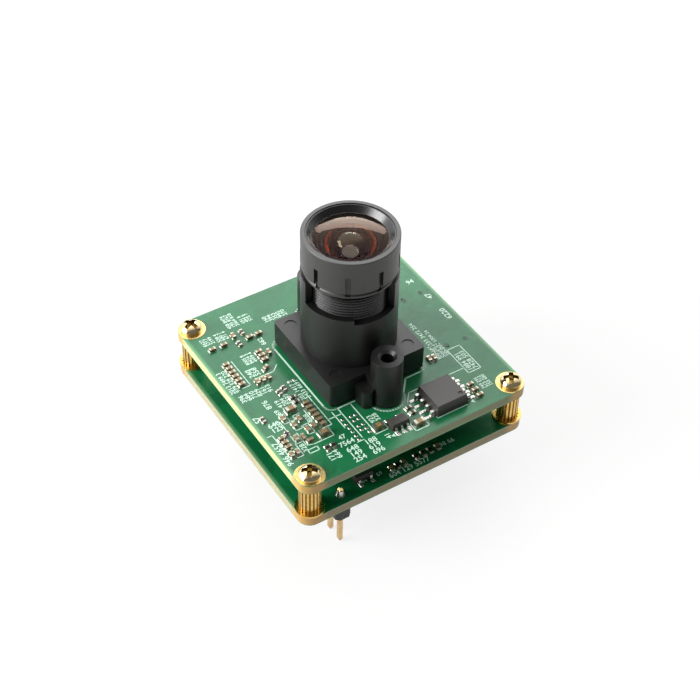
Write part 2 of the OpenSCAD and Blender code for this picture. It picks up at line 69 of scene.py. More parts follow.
# Centres of the corner holes from the board's edges
HOLE_INSET = 2.0
# Glass cloth in the boards: one ply's thickness
PLY = 0.1257
# How far the colour of a board's faces turns down over its edges
LACQUER_SKIN = 0.09
# What is laid on a board sinks this far into it
SINK = 0.01
# Bare pads: height, slope of the sides and round of the corners in plan
PAD_RISE, PAD_LEAN, PAD_ROUND = 0.07, 0.1, 0.12
# Solder at a chip's lead: reach beside and along it, height and slope
LEAD_REACH, LEAD_REACH_ALONG, LEAD_RISE, LEAD_LEAN = 0.1, 0.3, 0.1, 0.08
# Solder round a small part's end: height, and slope as a share of its spread
END_RISE, END_LEAN_SHARE = 0.16, 0.95
# Open plated holes, drawn as dark discs of painted shade: their radius, and how far the disc stands over the
# lacquer
OPEN_HOLE_R, OPEN_HOLE_RISE = 0.36, 0.015
# Pin 1 arrow heads, from middle to corner
ARROW_R = 0.38
# Printed digits stand this far over the board
DIGIT_LIFT = 0.03
# A printed line of digits fills this share of its pitch, up to a greatest height
DIGIT_FILL, DIGIT_TALLEST = 0.86, 0.9
# One digit's width as a share of its height
DIGIT_WIDTH_SHARE = 0.8
# The lens tube's threaded shank lies between these radii
SHANK_R = (5.5, 5.97)
# Plain ends of the shank under and over the thread
THREAD_LEAD_IN, THREAD_RUN_OUT = 0.4, 0.55
# The thread's crest starts and ends at these shares of its pitch, and its root sinks into the shank
CREST_SHARES, THREAD_SINK = (0.42, 0.58), 0.02
# Rounds that tumbling leaves on the screws, and moulding on the flash chip
SCREW_ROUND, CHIP_ROUND = 0.04, 0.06
# The screws' recess: greatest radius, and its lowest level and its floor's highest over the board
RECESS_R, RECESS_LOW, RECESS_TOP = 1.16, 0.3, 1.0
# The standoffs' flutes lie between these radii
FLUTE_R = (1.3, 1.545)

# The camera, in metres and degrees
CAMERA_AT = (-0.08886, -0.13626, 0.17542)
CAMERA_AIM = (0.000843, 0.000866, 0.0167)
CAMERA_ROLL = 1.16
# Its lens and sensor, in millimetres
CAMERA_LENS, CAMERA_SENSOR = 79.56, 36
# The way from the part to the bright side of the room: behind and above
BRIGHT_WAY = (0.15, 0.85, 0.5)
INK = "#CFF2DE"
PAPER = "#F6F6F5"
# How far mirrors see the floor burnt out
MIRRORED_PAPER = 0.6


# ------------------------------------------------------------------ shader helpers


def linear(code):
    """An sRGB hex colour as the linear RGBA that shaders use."""
    parts = [int(code[i:i + 2], 16) / 255 for i in (1, 3, 5)]
    return tuple(c / 12.92 if c <= 0.04045 else ((c + 0.055) / 1.055) ** 2.4 for c in parts) + (1.0,)


def add_node(tree, kind, inputs=None, **settings):
    """Add a shader node. Each input is a value, or the output socket that feeds it."""
    node = tree.nodes.new(kind)
    for name, value in settings.items():
        setattr(node, name, value)
    for name, value in (inputs or {}).items():
        if isinstance(value, bpy.types.NodeSocket):
            tree.links.new(value, node.inputs[name])
        else:
            node.inputs[name].default_value = value
    return node


def new_finish(name, color, **sockets):
    """A material whose Principled shader has these values. Returns it with its tree and shader."""
    material = bpy.data.materials.new(name)
    material.use_nodes = True
    shader = material.node_tree.nodes["Principled BSDF"]
    shader.inputs["Base Color"].default_value = linear(color)
    for socket, value in sockets.items():
        shader.inputs[socket.replace("_", " ")].default_value = value
    return material, material.node_tree, shader


def spot_mm(tree):
    """The point on the piece in millimetres of the part's frame."""
    place = add_node(tree, "ShaderNodeTexCoord")
    return add_node(tree, "ShaderNodeVectorMath", {0: place.outputs["Object"], "Scale": 1 / MM},
                    operation="SCALE").outputs["Vector"]


def blend(tree, factor, first, second):
    """The colour that goes from first to second as factor goes from 0 to 1."""
    mix = add_node(tree, "ShaderNodeMix", data_type="RGBA")
    for socket, value in ((mix.inputs[0], factor), (mix.inputs[6], first), (mix.inputs[7], second)):
        if isinstance(value, bpy.types.NodeSocket):
            tree.links.new(value, socket)
        else:
            socket.default_value = value
    return mix.outputs[2]


def remap(tree, value, low, high, to_low=0.0, to_high=1.0):
    """Value stretched from one range to another, and held at its ends."""
    return add_node(tree, "ShaderNodeMapRange", {
        "Value": value, "From Min": low, "From Max": high, "To Min": to_low, "To Max": to_high,
    }).outputs["Result"]


def lumps(tree, size_mm, detail=3.0, stretch=(1, 1, 1)):
    """A noise whose lumps measure size_mm, times the stretch of each axis."""
    spread = add_node(tree, "ShaderNodeMapping", {"Vector": spot_mm(tree), "Scale": [1 / s for s in stretch]})
    return add_node(tree, "ShaderNodeTexNoise", {
        "Vector": spread.outputs["Vector"], "Scale": 1 / size_mm, "Detail": detail}).outputs["Fac"]


def roughen(tree, shader, height, depth_mm, rough=None):
    """Relief of depth_mm from a height, and gloss that follows it."""
    bump = add_node(tree, "ShaderNodeBump", {"Height": height, "Distance": depth_mm * MM})
    tree.links.new(bump.outputs["Normal"], shader.inputs["Normal"])
    if rough:
        tree.links.new(remap(tree, height, 0.3, 0.7, *rough), shader.inputs["Roughness"])


# ------------------------------------------------------------------ finishes


def mask_finish(name, top_mm, low_mm, mask, deep, bare, lit_x_edges, shaded_y_edges):
    """Solder mask over copper on FR4: glossy green lacquer above and below, glass-epoxy on the cut edge."""
    material, tree, shader = new_finish(name, mask, Roughness=0.2, IOR=1.6)
    spot = spot_mm(tree)
    axes = add_node(tree, "ShaderNodeSeparateXYZ", {"Vector": spot})
    # Copper under the lacquer shows as a slightly lighter green than bare laminate, in pours some 6 mm wide
    pour = remap(tree, lumps(tree, 6.0, detail=1.0), 0.47, 0.5)
    lacquer = blend(tree, pour, linear(mask), linear(deep))
    # Lacquer thickness varies slowly, over about 12 mm
    lacquer = blend(tree, remap(tree, lumps(tree, 12.0, 0.0), 0.35, 0.65, 0.0, 0.35), lacquer, linear(deep))
    # The edge shows the plies of glass cloth as bands, and fibres about 0.7 mm long. The wave texture has
    # its bands 2 pi / 20 apart at a scale of 1
    plies = add_node(tree, "ShaderNodeTexWave", {
        "Vector": spot, "Scale": math.pi / (10 * PLY), "Distortion": 1.5, "Detail": 2.0},
        bands_direction="Z").outputs["Fac"]
    fibre = lumps(tree, 0.35, 4.0, stretch=(2, 2, 0.5))
    side = add_node(tree, "ShaderNodeVectorMath", {0: spot}, operation="ABSOLUTE").outputs["Vector"]
    reach = add_node(tree, "ShaderNodeSeparateXYZ", {"Vector": side})
    # The edges facing along X are painted pale, a painted highlight for the left edge where the lamp falls,
    # and those facing along Y olive, painted shade for the front edge
    lit_x_edge_mask = remap(tree, reach.outputs["X"], HALF - 0.25, HALF - 0.02)
    edge = blend(tree, lit_x_edge_mask, linear(shaded_y_edges[0]), linear(lit_x_edges[0]))
    shade = blend(tree, lit_x_edge_mask, linear(shaded_y_edges[1]), linear(lit_x_edges[1]))
    edge = blend(tree, remap(tree, plies, 0.2, 0.9, 0.0, 0.5), edge, shade)
    edge = blend(tree, remap(tree, fibre, 0.4, 0.7, 0.0, 0.6), edge, shade)
    # Green of the lacquer shines a little way into the laminate, and near the corner holes the edge turns
    # amber
    thick, middle = top_mm - low_mm, (top_mm + low_mm) / 2
    deep_in = add_node(tree, "ShaderNodeMath", {0: axes.outputs["Z"], 1: middle}, operation="SUBTRACT")
    near_face = add_node(tree, "ShaderNodeMath", {0: deep_in.outputs[0]}, operation="ABSOLUTE")
    shine = remap(tree, near_face.outputs[0], thick * 0.3, thick * 0.5, 0.0, 0.5)
    edge = blend(tree, shine, edge, linear(bare))
    corner = add_node(tree, "ShaderNodeVectorMath", {
        0: side, 1: (HALF - HOLE_INSET, HALF - HOLE_INSET, middle)}, operation="DISTANCE").outputs["Value"]
    edge = blend(tree, remap(tree, corner, 2.7, 2.15, 0.0, 0.8), edge, linear("#B98B3A"))
    # Along the edges facing along X only, the lacquer turns to pale laminate: partly the mask stopping short
    # of the edge, partly a painted highlight on the lit left edge
    lacquer = blend(tree, remap(tree, reach.outputs["X"], HALF - 0.65, HALF - 0.05, 0.0, 0.75), lacquer,
                    linear(bare))
    over = add_node(tree, "ShaderNodeMath", {0: axes.outputs["Z"], 1: top_mm - LACQUER_SKIN},
                    operation="GREATER_THAN")
    under = add_node(tree, "ShaderNodeMath", {0: axes.outputs["Z"], 1: low_mm + LACQUER_SKIN},
                     operation="LESS_THAN")
    face = add_node(tree, "ShaderNodeMath", {0: over.outputs[0], 1: under.outputs[0]}, operation="MAXIMUM")
    tree.links.new(blend(tree, face.outputs[0], edge, lacquer), shader.inputs["Base Color"])
    # Orange-peel of the cured lacquer, about 0.8 mm across; the cut edge is matt
    peel = lumps(tree, 0.8, 2.0)
    gloss = remap(tree, peel, 0.3, 0.7, 0.17, 0.26)
    sawn = add_node(tree, "ShaderNodeMix", data_type="FLOAT")
    tree.links.new(face.outputs[0], sawn.inputs[0])
    tree.links.new(gloss, sawn.inputs[3])
    sawn.inputs[2].default_value = 0.42
    tree.links.new(sawn.outputs[0], shader.inputs["Roughness"])
    roughen(tree, shader, peel, 0.004)
    return material


def gilt_finish(name, color, dark, rough, lump_mm, depth_mm):
    """Thin gold or brass plate: warm metal with soft mottling from the bath."""
    material, tree, shader = new_finish(name, color, Metallic=1.0, Roughness=sum(rough) / 2)
    mottle = lumps(tree, lump_mm)
    tree.links.new(blend(tree, remap(tree, mottle, 0.35, 0.7), linear(color), linear(dark)),
                   shader.inputs["Base Color"])
    roughen(tree, shader, mottle, depth_mm, rough)
    return material


def moulded_finish(name, color, dark, rough, lump_mm, depth_mm, **sockets):
    """Moulded black plastic: an even fine grain from the spark-eroded mould, dull where it is deepest."""
    material, tree, shader = new_finish(name, color, Roughness=sum(rough) / 2, **sockets)
    grain = lumps(tree, lump_mm, 4.0)
    tree.links.new(blend(tree, remap(tree, grain, 0.3, 0.7), linear(color), linear(dark)),
                   shader.inputs["Base Color"])
    roughen(tree, shader, grain, depth_mm, rough)
    return material


def optical_finish(name, color, ior, film_nm):
    """Polished glass with a thin hard coat, which tints its reflections green and violet."""
    material, tree, shader = new_finish(name, color, Roughness=0.02, IOR=ior)
    shader.inputs["Transmission Weight"].default_value = 1.0
    shader.inputs["Thin Film Thickness"].default_value = film_nm
    shader.inputs["Thin Film IOR"].default_value = 1.38
    wipe = lumps(tree, 1.5, 2.0)
    tree.links.new(remap(tree, wipe, 0.3, 0.7, 0.01, 0.035), shader.inputs["Roughness"])
    return material


def make_finishes():
    """Every finish of the part, by name."""
    return {
        # Liquid photo-imageable solder mask, cured: a deep glossy green
        "upper_mask": mask_finish("solder_mask_upper", BOARD_TOP, BOARD_LOW,
                                  "#187244", "#156A3F", "#7FBE84",
                                  # The pale pair is painted light for the edges facing along X, the olive
                                  # pair painted shade for those facing along Y
                                  ("#D6CE94", "#A9A268"), ("#6E7440", "#545A30")),
        # The lower board's mask, its green painted darker as painted shade from the upper board above it
        "lower_mask": mask_finish("solder_mask_lower", LOWER_TOP, LOWER_LOW,
                                  "#127040", "#0E6338", "#8FB98C",
                                  # Again the pale pair is painted light for the X edges, the olive pair
                                  # painted shade for the Y edges
                                  ("#B9AE88", "#8B8060"), ("#8A7A50", "#6B5E3C")),
        # Electroless nickel and immersion gold on copper: warm satin yellow
        "gold_pad": gilt_finish("immersion_gold", "#EBCF8F", "#DDBB72", (0.2, 0.3), 0.5, 0.001),
        # Turned brass, lacquered: deeper yellow, bright along the flutes
        "brass": gilt_finish("turned_brass", "#E0BC72", "#D3AA5C", (0.2, 0.3), 0.6, 0.001),
        # Darker brass in the flutes: painted shade where the grooves lie in shadow
        "flute_shade_brass": gilt_finish("fluted_brass_painted_shade", "#8F6C2E", "#6E5120", (0.35, 0.45), 0.4, 0.001),
        # Steel screws under yellow-passivated zinc: pale gold with mirror lights
        "gilt_steel": gilt_finish("yellow_zinc", "#EBD9B0", "#D9C08A", (0.1, 0.18), 0.4, 0.001),
        # The same zinc in the recess, painted duller and browner as the shade inside it
        "recess_painted_shade_zinc": gilt_finish("recess_painted_shade_zinc", "#8E7436", "#6A5526", (0.3, 0.42), 0.3, 0.001),
        # Gold-flashed square pins
        "gilt_pin": gilt_finish("gold_flash", "#DCC08C", "#C79D6B", (0.18, 0.32), 0.8, 0.002),
        # Machine steel, plain
        "steel": gilt_finish("plain_steel", "#9C9A94", "#6E6C68", (0.25, 0.4), 0.5, 0.002),
        # Bright reflowed tin: nearly white, softly uneven
        "tin": gilt_finish("reflowed_tin", "#C6C2B4", "#8F8B7E", (0.22, 0.36), 0.25, 0.006),
        # Solder-plated lead frame of the chips: brighter and smoother
        "lead_tin": gilt_finish("plated_leads", "#D8D8D2", "#A9A8A2", (0.18, 0.3), 0.3, 0.004),
        # Glass-filled nylon, spark-eroded mould: soft sheen over near black
        "holder_black": moulded_finish("glass_filled_nylon", "#121211", "#0C0C0C", (0.34, 0.48), 0.16, 0.004,
                                       IOR=1.5),
        # Black anodised aluminium, fine turned: charcoal with a wide soft sheen
        "anodised_black": moulded_finish("anodised_black", "#2A2927", "#201F1E", (0.36, 0.5), 0.12, 0.003,
                                         IOR=1.6),
        # The same black on the thread's flanks, made shinier and darker
        "thread_black": moulded_finish("anodised_thread", "#0E0E0E", "#090909", (0.2, 0.3), 0.2, 0.001,
                                       IOR=1.6),
        # Epoxy moulding compound: warm dark grey, matt on top
        "chip_black": moulded_finish("epoxy_compound", "#3B3733", "#2B2825", (0.42, 0.6), 0.1, 0.004),
        # Liquid-crystal polymer of the connectors: plain black, satin
        "connector_black": moulded_finish("moulded_polymer", "#1C1B1A", "#121211", (0.4, 0.55), 0.3, 0.004),
        # Barium titanate, fired: tan, slightly glossy
        "capacitor_ceramic": moulded_finish("fired_titanate", "#A08355", "#7E6440", (0.3, 0.45), 0.2, 0.003),
        # Black glaze over the resistors' film
        "resistor_ceramic": moulded_finish("black_glaze", "#26221F", "#171513", (0.2, 0.35), 0.2, 0.003),
        # Pressed alumina of the sensor's package
        "package_ceramic": moulded_finish("alumina", "#BDB6A6", "#A79F8F", (0.5, 0.65), 0.2, 0.003),
        # Polished silicon under colour filters: dark with a purple cast
        "silicon": moulded_finish("silicon", "#3A3350", "#26304A", (0.12, 0.2), 0.1, 0.0, Metallic=0.6),
        # Coated crown glass
        "lens_glass": optical_finish("coated_glass", "#F4FAF7", 1.6, 100.0),
        # Ground bevel of the front glass: a frosted pale line
        "ground_glass": moulded_finish("ground_bevel", "#A9AAA8", "#8B8D8B", (0.35, 0.5), 0.2, 0.001),
        # Lacquer on the glass's edge, coloured a dark copper metal so that it gives a painted copper sheen
        # where it mirrors the room; on the seat, black
        "edge_lacquer": gilt_finish("edge_lacquer", "#7A2A0C", "#3A1206", (0.18, 0.3), 1.2, 0.001),
        "seat_lacquer": moulded_finish("seat_lacquer", "#0B0C0D", "#070808", (0.3, 0.4), 0.3, 0.001),
        # Infrared filter: pale cyan glass with a strong coat
        "filter_glass": optical_finish("filter_glass", "#CFE9E4", 1.52, 130.0),
    }


# ------------------------------------------------------------------ mesh helpers


def keep_piece(name, bm, body, finish, replaced=()):
    """Turn a bmesh in millimetres into a piece that rides on a body."""
    bmesh.ops.scale(bm, vec=(MM, MM, MM), verts=bm.verts)
    mesh = bpy.data.meshes.new(name)
    bm.to_mesh(mesh)
    bm.free()
    piece = bpy.data.objects.new(name, mesh)
    bpy.context.scene.collection.objects.link(piece)
    mesh.materials.append(finish)
    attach(piece, body)
    if replaced:
        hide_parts(*replaced)
    return piece


def merged_copy(node):
    """A CAD node's mesh in millimetres, its loose triangles joined and its flat faces whole."""
    bm = bmesh.new()
    bm.from_mesh(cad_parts[node].data)
    bmesh.ops.scale(bm, vec=(1 / MM, 1 / MM, 1 / MM), verts=bm.verts)
    bmesh.ops.remove_doubles(bm, verts=bm.verts, dist=0.001)
    bmesh.ops.dissolve_limit(bm, angle_limit=math.radians(0.5), verts=bm.verts, edges=bm.edges)
    return bm


def shade_curves(bm, angle=32):
    """Smooth shading that stops at edges sharper than the angle."""
    for face in bm.faces:
        face.smooth = True
    for line in bm.edges:
        line.smooth = len(line.link_faces) == 2 and line.calc_face_angle(0) < math.radians(angle)


def soften(piece, width_mm):
    """The small round that moulding or tumbling leaves on every edge sharper than 35 degrees."""
    round_off = piece.modifiers.new("edge_round", "BEVEL")
    round_off.width = width_mm * MM
    round_off.segments = 2
    round_off.limit_method = "ANGLE"
    round_off.angle_limit = math.radians(35)
    round_off.harden_normals = True


def add_block(bm, low, high, lean=0.0):
    """A block between two corners, its top narrower by lean on each side."""
    made = bmesh.ops.create_cube(bm, size=1.0)["verts"]
    size = [b - a for a, b in zip(low, high)]
    bmesh.ops.scale(bm, vec=size, verts=made)
    bmesh.ops.translate(bm, vec=[(a + b) / 2 for a, b in zip(low, high)], verts=made)
    if lean:
        top = [v for v in made if v.co.z > (low[2] + high[2]) / 2]
        centre = Vector(((low[0] + high[0]) / 2, (low[1] + high[1]) / 2, 0))
        shrink = (1 - 2 * lean / size[0], 1 - 2 * lean / size[1], 1)
        bmesh.ops.scale(bm, vec=shrink, space=Matrix.Translation(-centre), verts=top)
    return made


def add_solder(bm, low, high, reach, rise, lean):
    """Solder at a lead or end that stands on the board: a low block that reaches past it and leans in."""
    add_block(bm, (low[0] - reach[0], low[1] - reach[1], low[2] - SINK),
              (high[0] + reach[0], high[1] + reach[1], low[2] + rise), lean)


def add_disc(bm, at, z, radius, height, segments=24):
    """A flat disc standing on z."""
    return bmesh.ops.create_cone(bm, cap_ends=True, segments=segments, radius1=radius, radius2=radius,
                                 depth=height,
                                 matrix=Matrix.Translation((at[0], at[1], z + height / 2)))["verts"]


def add_stroke(bm, points, z, width, height):
    """A printed line through points: a flat bar for each leg, with a round dot at each turn."""
    for (x0, y0), (x1, y1) in zip(points, points[1:]):
        run = math.hypot(x1 - x0, y1 - y0)
        place = Matrix.Translation(((x0 + x1) / 2, (y0 + y1) / 2, z + height / 2))
        turn = Matrix.Rotation(math.atan2(y1 - y0, x1 - x0), 4, "Z")
        bmesh.ops.create_cube(bm, size=1.0, matrix=place @ turn @ Matrix.Diagonal((run, width, height, 1)))
    for x, y in points:
        add_disc(bm, (x, y), z, width / 2, height, segments=8)


def arc(centre, radius, start, stop, steps=12):
    """Points along an arc, angles in degrees."""
    angles = [math.radians(start + (stop - start) * i / steps) for i in range(steps + 1)]
    return [(centre[0] + radius * math.cos(a), centre[1] + radius * math.sin(a)) for a in angles]


def loose_boxes(node):
    """The lowest and highest corners, in millimetres, of each separate solid of a node."""
    bm = merged_copy(node)
    left, boxes = set(bm.verts), []
    while left:
        front = [left.pop()]
        found = list(front)
        while front:
            for line in front.pop().link_edges:
                for v in line.verts:
                    if v in left:
                        left.remove(v)
                        front.append(v)
                        found.append(v)
        boxes.append(([min(v.co[i] for v in found) for i in range(3)],
                      [max(v.co[i] for v in found) for i in range(3)]))
    bm.free()
    return sorted(boxes)


def add_words(bm, words, at, z, height, angle):
    """Plain printed numbers: their lower left corner at a point, running along an angle."""
    curve = bpy.data.curves.new("print", "FONT")
    curve.body, curve.size, curve.extrude, curve.resolution_u = words, 1.0, 0.0, 2
    curve.offset = 0.02
    text = bpy.data.objects.new("print", curve)
    mesh = bpy.data.meshes.new_from_object(text)
    # A digit of the built-in letters stands 0.7 of the text's size high
    size = height / 0.7
    mesh.transform(Matrix.Translation((at[0], at[1], z + DIGIT_LIFT))
                   @ Matrix.Rotation(math.radians(angle), 4, "Z") @ Matrix.Diagonal((size, size, 1, 1)))
    bm.from_mesh(mesh)
    bpy.data.meshes.remove(mesh)
    bpy.data.objects.remove(text)
    bpy.data.curves.remove(curve)


# ------------------------------------------------------------------ layout of the print and solder


# Printed outlines on the upper board, in millimetres from its middle: width, then points
HOLDER_LINE = 0.26
OUTLINES = [
    (HOLDER_LINE, [(-3.9, -8.3), (-7.25, -8.3)] + arc((-7.25, -7.0), 1.3, -90, -180, 6) + [(-8.55, 7.0)]
     + arc((-7.25, 7.0), 1.3, 180, 90, 6) + [(-4.5, 8.35), (-2.68, 10.6)]),
    (HOLDER_LINE, [(2.68, -10.6), (4.5, -8.35), (7.25, -8.3)] + arc((7.25, -7.0), 1.3, -90, 0, 6)
     + [(8.55, 7.0)] + arc((7.25, 7.0), 1.3, 0, 90, 6) + [(3.9, 8.3)]),
    (HOLDER_LINE, arc((0, -10), 2.75, -12, -162, 16)),
    (HOLDER_LINE, arc((0, 10), 2.75, 168, 18, 16)),
    (0.16, [(4.05, -16.8), (4.05, -17.3), (9.2, -17.3)]),
    (0.16, [(2.0, -12.6), (3.3, -11.0), (4.8, -11.0)]),
    (0.16, [(10.3, -11.0), (13.1, -11.0)]),
    (0.18, [(0.05, -15.6), (0.05, -17.75), (2.3, -17.75), (2.3, -15.6)]),
    (0.16, [(-5.1, -15.3), (-3.0, -15.3), (-3.0, -13.7)]),
    (0.16, [(-9.35, -3.9), (-9.35, -10.45), (-10.9, -10.45)]),
    (0.16, [(-9.35, -9.45), (-7.1, -9.45)]),
    (0.16, [(-10.15, -10.6), (-10.15, -12.35), (-13.5, -12.35)]),
    (0.16, [(-15.7, -11.0), (-15.7, -13.4), (-17.5, -13.4)]),
    (0.16, [(-14.8, -12.9), (-13.3, -12.9), (-13.3, -13.6), (-14.8, -13.6), (-14.8, -12.9)]),
    (0.16, [(-15.25, 7.9), (-15.25, 2.2), (-16.6, 2.2)]),
    (0.16, [(-8.15, -8.5), (-8.15, -12.0)]),
    (0.16, [(-7.05, -8.5), (-7.05, -14.8)]),
    (0.16, [(-5.0, -8.5), (-5.0, -15.1)]),
    (0.16, [(13.0, -6.7), (15.2, -6.7), (15.2, -12.2), (13.0, -12.2), (13.0, -6.7)]),
    (0.14, [(-8.15, -15.25), (-7.0, -15.25)]),
    (0.16, [(-14.6, 5.0), (-13.2, 5.0)]),
    (0.16, [(-13.6, 2.9), (-11.0, 2.9), (-9.9, 3.9)]),
    (0.16, [(-14.9, -6.0), (-14.1, -6.0), (-14.1, -5.0)]),
    (0.16, [(-16.2, -6.2), (-15.4, -6.2), (-15.4, -8.0)]),
    (0.14, [(-15.0, -5.2), (-15.0, -7.0), (-14.05, -7.0), (-14.05, -5.2), (-15.0, -5.2)]),
    (0.14, [(-14.05, -7.0), (-13.25, -7.0), (-13.25, -6.2), (-12.1, -6.2)]),
    (0.14, [(-11.3, -6.0), (-11.3, -8.5), (-13.25, -8.5), (-13.25, -8.9), (-14.25, -8.9), (-14.25, -7.1)]),
    (0.14, [(-13.05, -8.5), (-13.05, -10.45), (-12.1, -10.45), (-12.1, -8.5)]),
    (0.14, [(-15.5, -9.2), (-15.5, -11.1), (-14.7, -11.1)]),
    (0.14, [(-14.45, -9.3), (-14.45, -12.0), (-13.5, -12.35)]),
    (0.14, [(-18.45, -7.95), (-17.6, -7.95), (-17.6, -13.4), (-16.8, -13.4)]),
    (0.14, [(-12.1, -10.6), (-12.1, -12.3)]),
    (0.14, [(-13.65, -4.2), (-13.65, -5.6), (-11.9, -5.6)]),
]
# Small arrow heads that mark pin 1: tip, and direction in degrees
ARROWS = [((10.2, -17.2), 90), ((-3.1, -16.8), 90), ((9.6, 7.9), 200)]

# Blocks of printed numbers: left, right, low, high, lines, True where they run up the board
NUMBERS = [
    (-10.3, -7.7, -18.4, -15.3, 3, False), (-7.35, -4.8, -18.5, -15.4, 3, False),
    (-13.1, -11.2, -16.5, -14.8, 2, True), (-18.7, -17.6, -14.2, -8.2, 1, True),
    (-18.6, -17.0, 1.8, 7.9, 2, True), (-18.1, -12.9, -0.5, 1.4, 6, True),
    (-13.8, -11.8, 5.9, 8.5, 3, True), (-17.3, -15.3, 12.5, 14.8, 3, True),
    (-15.0, -13.0, 12.3, 14.8, 3, True), (-12.3, -10.3, 14.0, 18.2, 3, True),
    (-10.0, -8.1, 14.0, 16.0, 3, True), (-6.9, -3.0, 12.3, 14.4, 5, True),
    (-9.8, -8.9, 8.4, 10.0, 1, True), (-14.7, -12.8, 3.3, 5.4, 2, True),
    (11.1, 11.9, -7.3, 3.3, 1, True), (12.2, 12.9, -7.4, 0.0, 1, True),
    (16.9, 18.0, 3.9, 5.6, 1, True), (16.8, 18.0, -1.3, 2.5, 1, True),
    (16.2, 17.8, 8.3, 9.3, 1, False), (13.2, 15.0, -12.0, -6.9, 2, True),
    (12.8, 14.7, -16.0, -12.9, 3, True), (-10.6, -9.0, -4.4, 1.2, 2, True),
    (-15.8, -14.8, -3.4, -1.0, 1, True), (-15.2, -14.3, -5.7, -3.6, 1, True),
    (-18.5, -17.4, -5.0, -3.2, 1, True), (-14.2, -11.6, -4.0, -1.9, 3, True),
    (-12.1, -11.2, -8.5, -6.6, 1, True), (-17.3, -15.3, -7.8, -5.8, 2, False),
    (10.7, 13.0, -7.7, -4.0, 3, True), (-15.5, -14.6, -13.1, -11.2, 1, True),
    (-4.6, -2.9, -13.3, -11.6, 2, True), (-4.3, -3.4, -17.0, -15.7, 1, True),
    (-10.7, -8.1, -15.0, -14.0, 1, False), (-10.0, -8.6, -13.7, -12.8, 1, False),
]
LOWER_NUMBERS = [
    (-4.5, 3.9, -18.6, -17.6, 1, False), (4.4, 8.0, -17.4, -16.5, 1, False),
    (-8.5, -7.2, -17.3, -16.5, 1, False), (-5.9, -4.7, -17.3, -16.5, 1, False),
]

# Bare tinned pads: middle, and side in millimetres
BARE_PADS = [
    ((-7.65, y), (0.5, 0.55)) for y in (-10.5, -11.5, -12.4, -13.2, -14.1, -14.9)
] + [
    (at, (0.5, 0.55)) for at in ((-6.35, -12.7), (-6.35, -13.5), (-5.6, -12.7), (-5.6, -13.6), (-5.6, -14.4),
                                 (-6.3, -10.6), (-6.3, -11.5), (-5.6, -10.6), (-5.6, -11.5),
                                 (-10.2, -0.15), (-9.4, -0.15))
] + [((x, -16.75), (0.55, 1.15)) for x in (-2.35, -1.35, -0.4)]
# Open plated holes at the right of the board
OPEN_HOLES = [(13.6, 5.7), (16.8, 6.0), (13.6, -5.7), (16.8, -6.0)]


def fill_numbers(bm, block, z, pick):
    """Fill a block with lines of plain numbers, in groups of three and four digits."""
    left, right, low, high, lines, runs_up = block
    across, along = (right - left, high - low) if runs_up else (high - low, right - left)
    pitch = across / lines
    height = min(pitch * DIGIT_FILL, DIGIT_TALLEST)
    count = max(2, round(along / (height * DIGIT_WIDTH_SHARE)))
    for i in range(lines):
        words = ""
        while len(words) < count:
            words += str(pick.randint(100, 999) if pick.random() < 0.5 else pick.randint(1000, 9999)) + " "
        words = words[:count].strip()
        if runs_up:
            add_words(bm, words, (left + pitch * (i + 0.5) + height / 2, low), z, height, 90)
        else:
            add_words(bm, words, (left, low + pitch * (i + 0.5) - height / 2), z, height, 0)


# ------------------------------------------------------------------ settings


class BoardLooks(bpy.types.PropertyGroup):
    print_color: FloatVectorProperty(
        name="Print colour", description="Ink of the printed outlines and numbers", subtype="COLOR",
        size=4, min=0, max=1, default=linear(INK))
    print_height: FloatProperty(
        name="Print thickness", description="Height of the ink over the lacquer, in metres",
        subtype="DISTANCE", default=0.02 * MM, min=0.005 * MM, max=0.1 * MM, precision=5)
    solder_spread: FloatProperty(
        name="Solder spread", description="How far the solder reaches past each small part's ends, in metres",
        subtype="DISTANCE", default=0.14 * MM, min=0.02 * MM, max=0.3 * MM, precision=5)
    number_seed: IntProperty(
        name="Number seed", description="Picks the plain numbers in the print", default=7, min=0)


class LensLooks(bpy.types.PropertyGroup):
    thread_pitch: FloatProperty(
        name="Thread pitch", description="Rise of the lens thread for one turn, in metres",
        subtype="DISTANCE", default=0.5 * MM, min=0.25 * MM, max=1 * MM, precision=5)
    thread_depth: FloatProperty(
        name="Thread depth", description="Depth of the lens thread, in metres", subtype="DISTANCE",
        default=0.27 * MM, min=0.1 * MM, max=0.5 * MM, precision=5)
    edge_round: FloatProperty(
        name="Edge round", description="Round of the moulded and turned edges, in metres", subtype="DISTANCE",
        default=0.12 * MM, min=0.02 * MM, max=0.3 * MM, precision=5)


class StageLooks(bpy.types.PropertyGroup):
    floor_color: FloatVectorProperty(
        name="Floor colour", description="Colour of the floor", subtype="COLOR", size=4, min=0, max=1,
        default=linear(PAPER))
    paper_white: FloatProperty(
        name="Paper white", description="How far the camera sees the floor burnt out",
        default=0.8, min=0, max=1)
    far_level: FloatProperty(
        name="Room level behind", description="Brightness of the room behind and above",
        default=1.0, min=0, max=3)
    near_level: FloatProperty(
        name="Room level in front", description="Brightness of the room on the near side",
        default=0.1, min=0, max=3)
    mirror_boost: FloatProperty(
        name="Mirrored room", description="How much brighter glossy surfaces see the room", default=1.9,
        min=1, max=3)
    panel_power: FloatProperty(
        name="Panel power", description="Power of the low panel behind, in watts", subtype="POWER",
        default=2.4, min=0, max=50)
    key_power: FloatProperty(
        name="Key power", description="Power of the soft key lamp, in watts", subtype="POWER",
        default=7.0, min=0, max=50)


# ------------------------------------------------------------------ pieces


